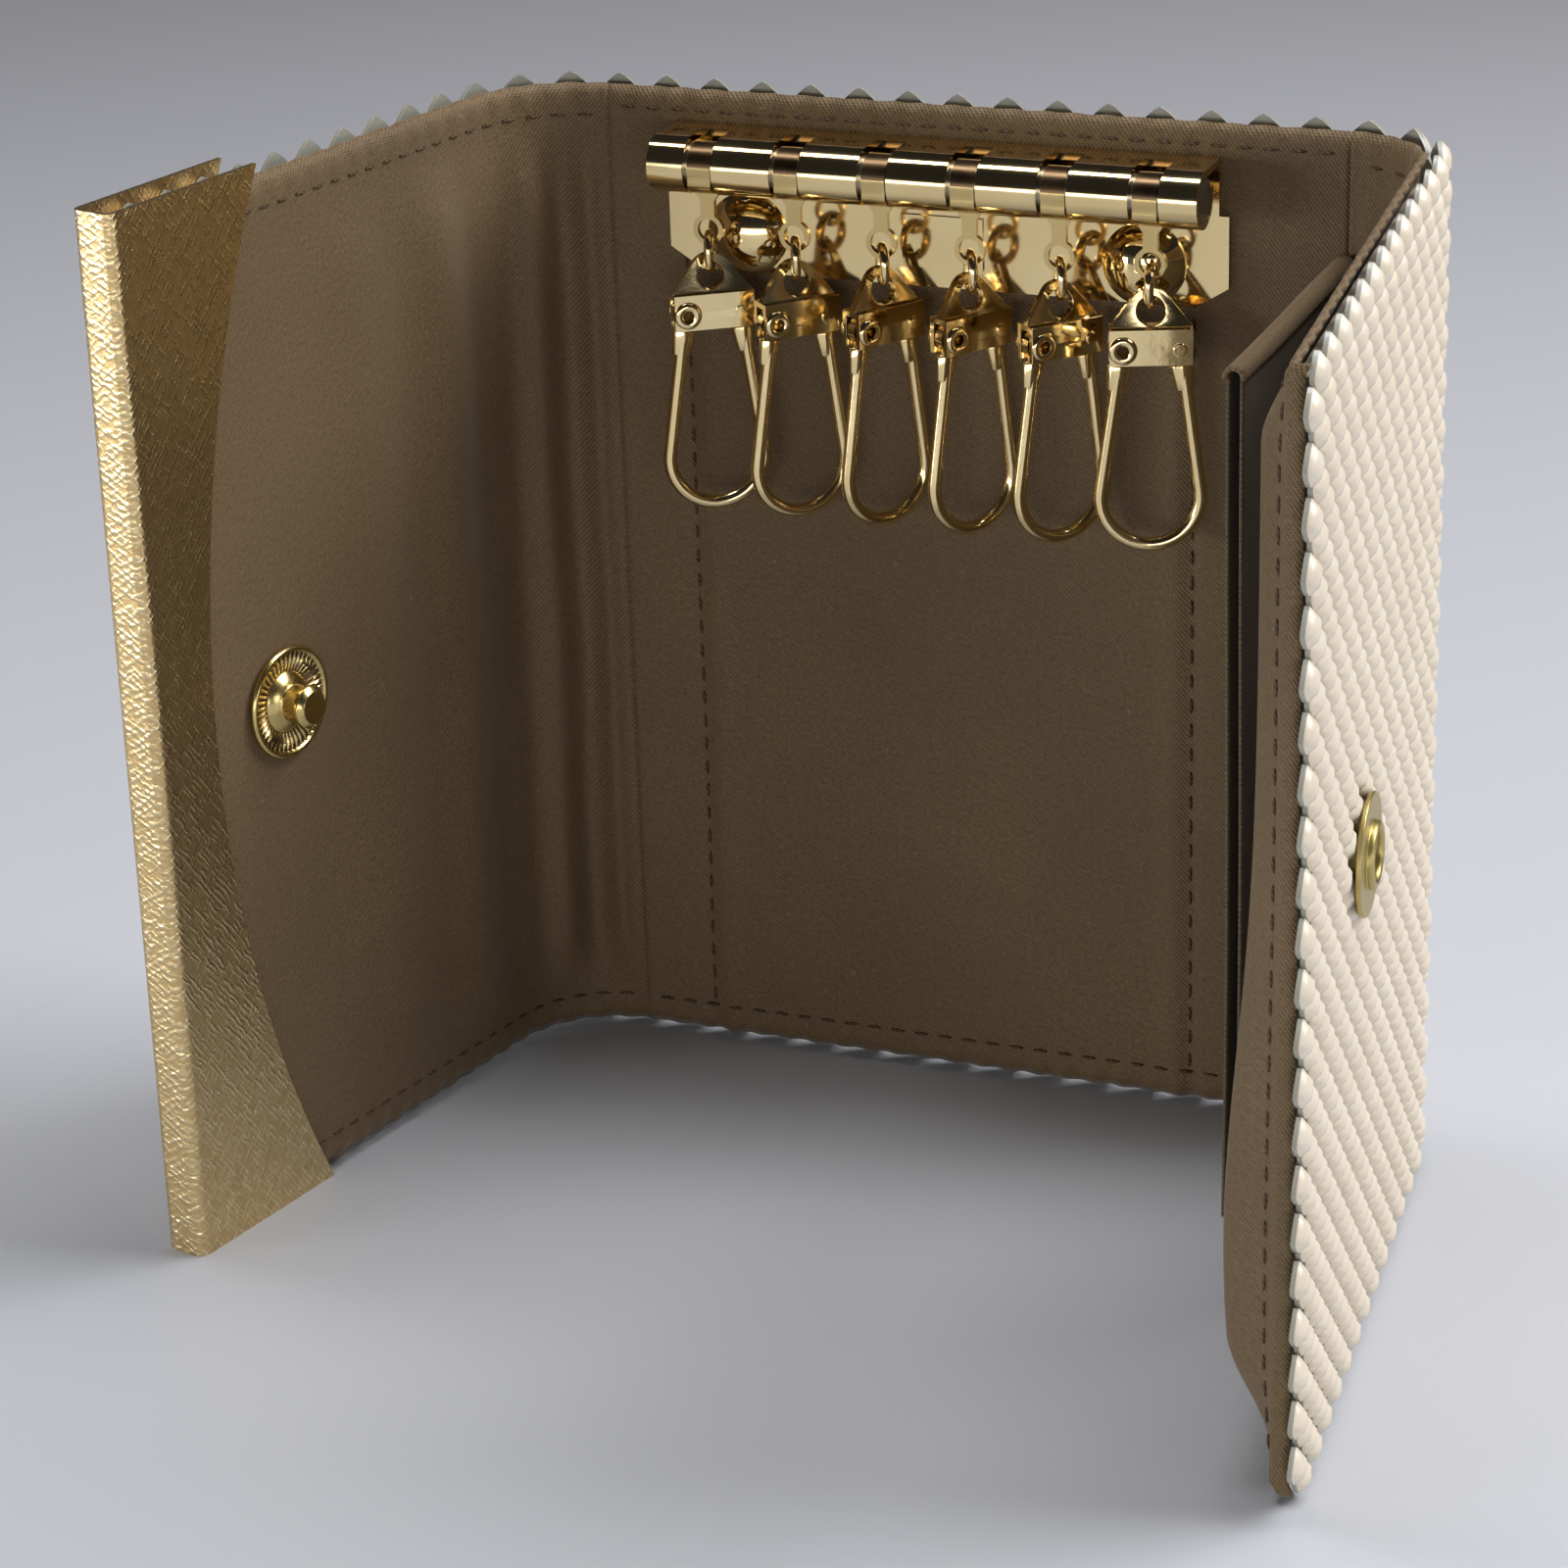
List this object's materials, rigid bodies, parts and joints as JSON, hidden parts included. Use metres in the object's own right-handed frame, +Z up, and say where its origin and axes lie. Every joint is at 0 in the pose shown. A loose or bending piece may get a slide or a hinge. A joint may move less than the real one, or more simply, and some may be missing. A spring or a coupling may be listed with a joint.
{
  "type": "key case",
  "caption": "Trifold key case: tiled metal mesh outside, cloth lining, a slotted rail of swivelling wire-loop key hooks, a metal edge trim and a snap that closes the flaps.",
  "frame": {"origin": "middle of the footprint, on the surface that the open case stands on", "axes": "+X along the back panel to the right as seen from the inside, +Y out of the back, +Z up"},
  "size_m": [0.1137, 0.0728, 0.101],
  "materials": {
    "lining": "twill cloth",
    "board": "plain",
    "mesh": "gloss enamel",
    "trim": "crosshatch engraved, gold plated",
    "snap": "gold plated",
    "rail": "polished gold plate",
    "rod": "drawn",
    "hook": "polished gold plate"
  },
  "bodies": {
    "back": {"back_lining": "lining", "back_board": "board", "back_mesh": "mesh", "left_fold_lining": "lining", "left_fold_mesh": "mesh", "right_fold_lining": "lining", "right_fold_mesh": "mesh", "hook_rail": "rail", "pivot_rod": "rod", "rivet_caps": "rail", "rivet_posts": "rail"},
    "left_flap": {"left_lining": "lining", "left_board": "board", "left_mesh": "mesh", "edge_trim": "trim", "stud_washer": "snap", "snap_stud": "snap", "stud_post": "snap"},
    "right_flap": {"right_lining": "lining", "right_board": "board", "right_mesh": "mesh", "snap_socket": "snap", "socket_post": "snap"},
    "pocket": {"pocket_leaf": "lining"},
    "strap_1": {"hook_1_strap": "hook"},
    "link_1": {"hook_1_link": "hook"},
    "head_1": {"hook_1_head": "hook", "hook_1_eyelet": "hook"},
    "gate_1": {"hook_1_gate": "hook"},
    "strap_2": {"hook_2_strap": "hook"},
    "link_2": {"hook_2_link": "hook"},
    "head_2": {"hook_2_head": "hook", "hook_2_eyelet": "hook"},
    "gate_2": {"hook_2_gate": "hook"},
    "strap_3": {"hook_3_strap": "hook"},
    "link_3": {"hook_3_link": "hook"},
    "head_3": {"hook_3_head": "hook", "hook_3_eyelet": "hook"},
    "gate_3": {"hook_3_gate": "hook"},
    "strap_4": {"hook_4_strap": "hook"},
    "link_4": {"hook_4_link": "hook"},
    "head_4": {"hook_4_head": "hook", "hook_4_eyelet": "hook"},
    "gate_4": {"hook_4_gate": "hook"},
    "strap_5": {"hook_5_strap": "hook"},
    "link_5": {"hook_5_link": "hook"},
    "head_5": {"hook_5_head": "hook", "hook_5_eyelet": "hook"},
    "gate_5": {"hook_5_gate": "hook"},
    "strap_6": {"hook_6_strap": "hook"},
    "link_6": {"hook_6_link": "hook"},
    "head_6": {"hook_6_head": "hook", "hook_6_eyelet": "hook"},
    "gate_6": {"hook_6_gate": "hook"}
  },
  "joints": [
    {"name": "left_fold", "type": "hinge", "parent": "back", "child": "left_flap", "pos_m": [-0.03219, 0.02262, 0], "axis": [0, 0, 1], "range_deg": [-78, 102], "deforming": ["left_fold_lining", "left_fold_mesh"]},
    {"name": "right_fold", "type": "hinge", "parent": "back", "child": "right_flap", "pos_m": [0.04071, 0.02552, 0], "axis": [0, 0, -1], "range_deg": [-85, 95], "deforming": ["right_fold_lining", "right_fold_mesh"]},
    {"name": "pocket_fold", "type": "hinge", "parent": "back", "child": "pocket", "pos_m": [0.04051, 0.03212, 0], "axis": [0, 0, -1], "range_deg": [-61, 68]},
    {"name": "swing_1", "type": "hinge", "parent": "back", "child": "strap_1", "pos_m": [-0.01984, 0.02772, 0.094], "axis": [1, 0, 0], "range_deg": [-100, 0]},
    {"name": "link_turn_1", "type": "hinge", "parent": "strap_1", "child": "link_1", "pos_m": [-0.01984, 0.02772, 0.0878], "axis": [0, 0, -1], "range_deg": [-13, 7]},
    {"name": "head_turn_1", "type": "hinge", "parent": "link_1", "child": "head_1", "pos_m": [-0.01984, 0.02772, 0.08328], "axis": [0, 0, -1], "range_deg": [-13, 7]},
    {"name": "gate_1_open", "type": "hinge", "parent": "head_1", "child": "gate_1", "pos_m": [-0.02199, 0.02626, 0.07988], "axis": [0.5592, -0.829, 0], "range_deg": [-22, 0]},
    {"name": "swing_2", "type": "hinge", "parent": "back", "child": "strap_2", "pos_m": [-0.01114, 0.02772, 0.094], "axis": [1, 0, 0], "range_deg": [-100, 0]},
    {"name": "link_turn_2", "type": "hinge", "parent": "strap_2", "child": "link_2", "pos_m": [-0.01114, 0.02772, 0.0878], "axis": [0, 0, -1], "range_deg": [-7, 13]},
    {"name": "head_turn_2", "type": "hinge", "parent": "link_2", "child": "head_2", "pos_m": [-0.01114, 0.02772, 0.08328], "axis": [0, 0, -1], "range_deg": [-7, 13]},
    {"name": "gate_2_open", "type": "hinge", "parent": "head_2", "child": "gate_2", "pos_m": [-0.01294, 0.02585, 0.07988], "axis": [0.7193, -0.6947, 0], "range_deg": [-22, 0]},
    {"name": "swing_3", "type": "hinge", "parent": "back", "child": "strap_3", "pos_m": [-0.00244, 0.02772, 0.094], "axis": [1, 0, 0], "range_deg": [-100, 0]},
    {"name": "link_turn_3", "type": "hinge", "parent": "strap_3", "child": "link_3", "pos_m": [-0.00244, 0.02772, 0.0878], "axis": [0, 0, -1], "range_deg": [-1, 19]},
    {"name": "head_turn_3", "type": "hinge", "parent": "link_3", "child": "head_3", "pos_m": [-0.00244, 0.02772, 0.08328], "axis": [0, 0, -1], "range_deg": [-1, 19]},
    {"name": "gate_3_open", "type": "hinge", "parent": "head_3", "child": "gate_3", "pos_m": [-0.00382, 0.02551, 0.07988], "axis": [0.848, -0.5299, 0], "range_deg": [-22, 0]},
    {"name": "swing_4", "type": "hinge", "parent": "back", "child": "strap_4", "pos_m": [0.00626, 0.02772, 0.094], "axis": [1, 0, 0], "range_deg": [-100, 0]},
    {"name": "link_turn_4", "type": "hinge", "parent": "strap_4", "child": "link_4", "pos_m": [0.00626, 0.02772, 0.0878], "axis": [0, 0, -1], "range_deg": [-1.5, 18.5]},
    {"name": "head_turn_4", "type": "hinge", "parent": "link_4", "child": "head_4", "pos_m": [0.00626, 0.02772, 0.08328], "axis": [0, 0, -1], "range_deg": [-1.5, 18.5]},
    {"name": "gate_4_open", "type": "hinge", "parent": "head_4", "child": "gate_4", "pos_m": [0.00485, 0.02554, 0.07988], "axis": [0.8387, -0.5446, 0], "range_deg": [-22, 0]},
    {"name": "swing_5", "type": "hinge", "parent": "back", "child": "strap_5", "pos_m": [0.01496, 0.02772, 0.094], "axis": [1, 0, 0], "range_deg": [-100, 0]},
    {"name": "link_turn_5", "type": "hinge", "parent": "strap_5", "child": "link_5", "pos_m": [0.01496, 0.02772, 0.0878], "axis": [0, 0, -1], "range_deg": [-5, 15]},
    {"name": "head_turn_5", "type": "hinge", "parent": "link_5", "child": "head_5", "pos_m": [0.01496, 0.02772, 0.08328], "axis": [0, 0, -1], "range_deg": [-5, 15]},
    {"name": "gate_5_open", "type": "hinge", "parent": "head_5", "child": "gate_5", "pos_m": [0.01329, 0.02572, 0.07988], "axis": [0.766, -0.6428, 0], "range_deg": [-22, 0]},
    {"name": "swing_6", "type": "hinge", "parent": "back", "child": "strap_6", "pos_m": [0.02366, 0.02772, 0.094], "axis": [1, 0, 0], "range_deg": [-100, 0]},
    {"name": "link_turn_6", "type": "hinge", "parent": "strap_6", "child": "link_6", "pos_m": [0.02366, 0.02772, 0.0878], "axis": [0, 0, -1], "range_deg": [-20, 0]},
    {"name": "head_turn_6", "type": "hinge", "parent": "link_6", "child": "head_6", "pos_m": [0.02366, 0.02772, 0.08328], "axis": [0, 0, -1], "range_deg": [-20, 0]},
    {"name": "gate_6_open", "type": "hinge", "parent": "head_6", "child": "gate_6", "pos_m": [0.02122, 0.02683, 0.07988], "axis": [0.342, -0.9397, 0], "range_deg": [-22, 0]}
  ],
  "couplings": [
    {"joint": "pocket_fold", "follows": "right_fold", "ratio": 0.707}
  ]
}
